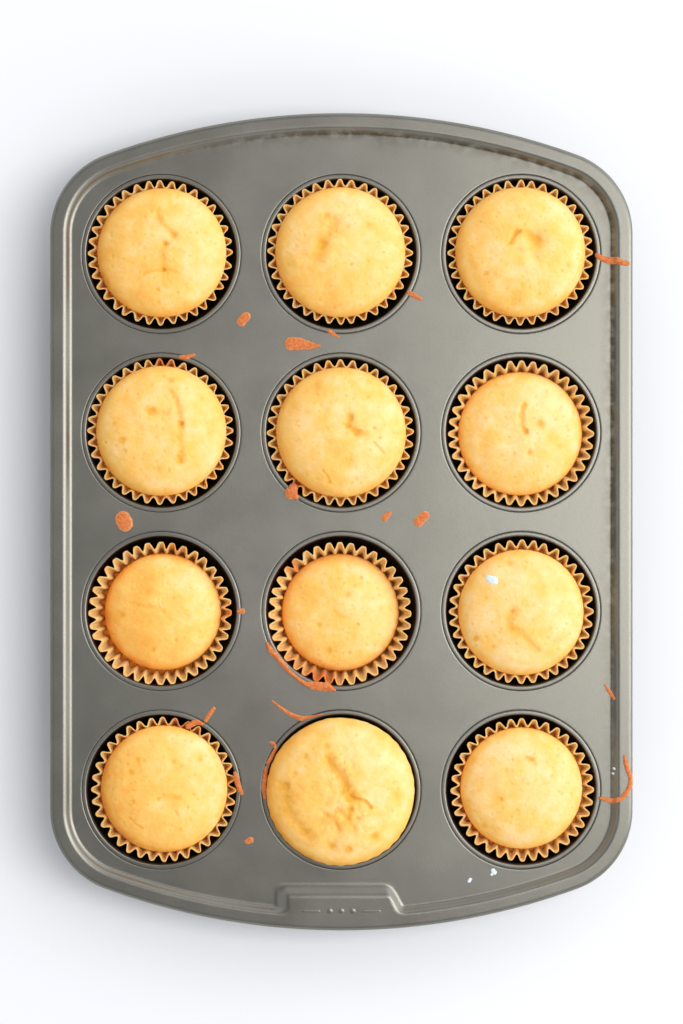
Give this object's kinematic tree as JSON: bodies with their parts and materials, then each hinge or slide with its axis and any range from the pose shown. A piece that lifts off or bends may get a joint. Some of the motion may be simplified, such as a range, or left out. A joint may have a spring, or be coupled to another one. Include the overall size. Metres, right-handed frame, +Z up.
{
  "type": "muffin tin",
  "caption": "Muffin tin with a recessed panel, seamed cups and a wired rolled rim, full of baked muffins that lift out in their paper cases.",
  "frame": {"origin": "middle of the tin in plan, level with the undersides of the cups, which it stands on", "axes": "+Z up, out of the cups; +Y along the tin's length, away from the raised pad on the front rim; +X to the right, seen from above with +Y up the page"},
  "size_m": [0.28, 0.393, 0.0466],
  "materials": {
    "nonstick_steel": "satin grey non-stick coating on pressed steel, with a fine speckle",
    "wire": "plain drawn steel wire, hidden in the rolled rim",
    "baking_paper": "matt greaseproof paper, toasted tan, pressed into pleats",
    "sponge": "soft baked crumb, pale golden top with an orange edge"
  },
  "bodies": {
    "tin": {"top_sheet": "nonstick_steel", "rim_wire": "wire", "cup_a1": "nonstick_steel", "cup_a2": "nonstick_steel", "cup_a3": "nonstick_steel", "cup_b1": "nonstick_steel", "cup_b2": "nonstick_steel", "cup_b3": "nonstick_steel", "cup_c1": "nonstick_steel", "cup_c2": "nonstick_steel", "cup_c3": "nonstick_steel", "cup_d1": "nonstick_steel", "cup_d2": "nonstick_steel", "cup_d3": "nonstick_steel"},
    "muffin_a1": {"paper_case_a1": "baking_paper", "cake_a1": "sponge"},
    "muffin_a2": {"paper_case_a2": "baking_paper", "cake_a2": "sponge"},
    "muffin_a3": {"paper_case_a3": "baking_paper", "cake_a3": "sponge"},
    "muffin_b1": {"paper_case_b1": "baking_paper", "cake_b1": "sponge"},
    "muffin_b2": {"paper_case_b2": "baking_paper", "cake_b2": "sponge"},
    "muffin_b3": {"paper_case_b3": "baking_paper", "cake_b3": "sponge"},
    "muffin_c1": {"paper_case_c1": "baking_paper", "cake_c1": "sponge"},
    "muffin_c2": {"paper_case_c2": "baking_paper", "cake_c2": "sponge"},
    "muffin_c3": {"paper_case_c3": "baking_paper", "cake_c3": "sponge"},
    "muffin_d1": {"paper_case_d1": "baking_paper", "cake_d1": "sponge"},
    "muffin_d2": {"paper_case_d2": "baking_paper", "cake_d2": "sponge"},
    "muffin_d3": {"paper_case_d3": "baking_paper", "cake_d3": "sponge"}
  },
  "joints": [
    {"name": "lift_a1", "type": "slide", "parent": "tin", "child": "muffin_a1", "axis": [0, 0, 1], "range_m": [0, 0.08]},
    {"name": "lift_a2", "type": "slide", "parent": "tin", "child": "muffin_a2", "axis": [0, 0, 1], "range_m": [0, 0.08]},
    {"name": "lift_a3", "type": "slide", "parent": "tin", "child": "muffin_a3", "axis": [0, 0, 1], "range_m": [0, 0.08]},
    {"name": "lift_b1", "type": "slide", "parent": "tin", "child": "muffin_b1", "axis": [0, 0, 1], "range_m": [0, 0.08]},
    {"name": "lift_b2", "type": "slide", "parent": "tin", "child": "muffin_b2", "axis": [0, 0, 1], "range_m": [0, 0.08]},
    {"name": "lift_b3", "type": "slide", "parent": "tin", "child": "muffin_b3", "axis": [0, 0, 1], "range_m": [0, 0.08]},
    {"name": "lift_c1", "type": "slide", "parent": "tin", "child": "muffin_c1", "axis": [0, 0, 1], "range_m": [0, 0.08]},
    {"name": "lift_c2", "type": "slide", "parent": "tin", "child": "muffin_c2", "axis": [0, 0, 1], "range_m": [0, 0.08]},
    {"name": "lift_c3", "type": "slide", "parent": "tin", "child": "muffin_c3", "axis": [0, 0, 1], "range_m": [0, 0.08]},
    {"name": "lift_d1", "type": "slide", "parent": "tin", "child": "muffin_d1", "axis": [0, 0, 1], "range_m": [0, 0.08]},
    {"name": "lift_d2", "type": "slide", "parent": "tin", "child": "muffin_d2", "axis": [0, 0, 1], "range_m": [0, 0.08]},
    {"name": "lift_d3", "type": "slide", "parent": "tin", "child": "muffin_d3", "axis": [0, 0, 1], "range_m": [0, 0.08]}
  ]
}
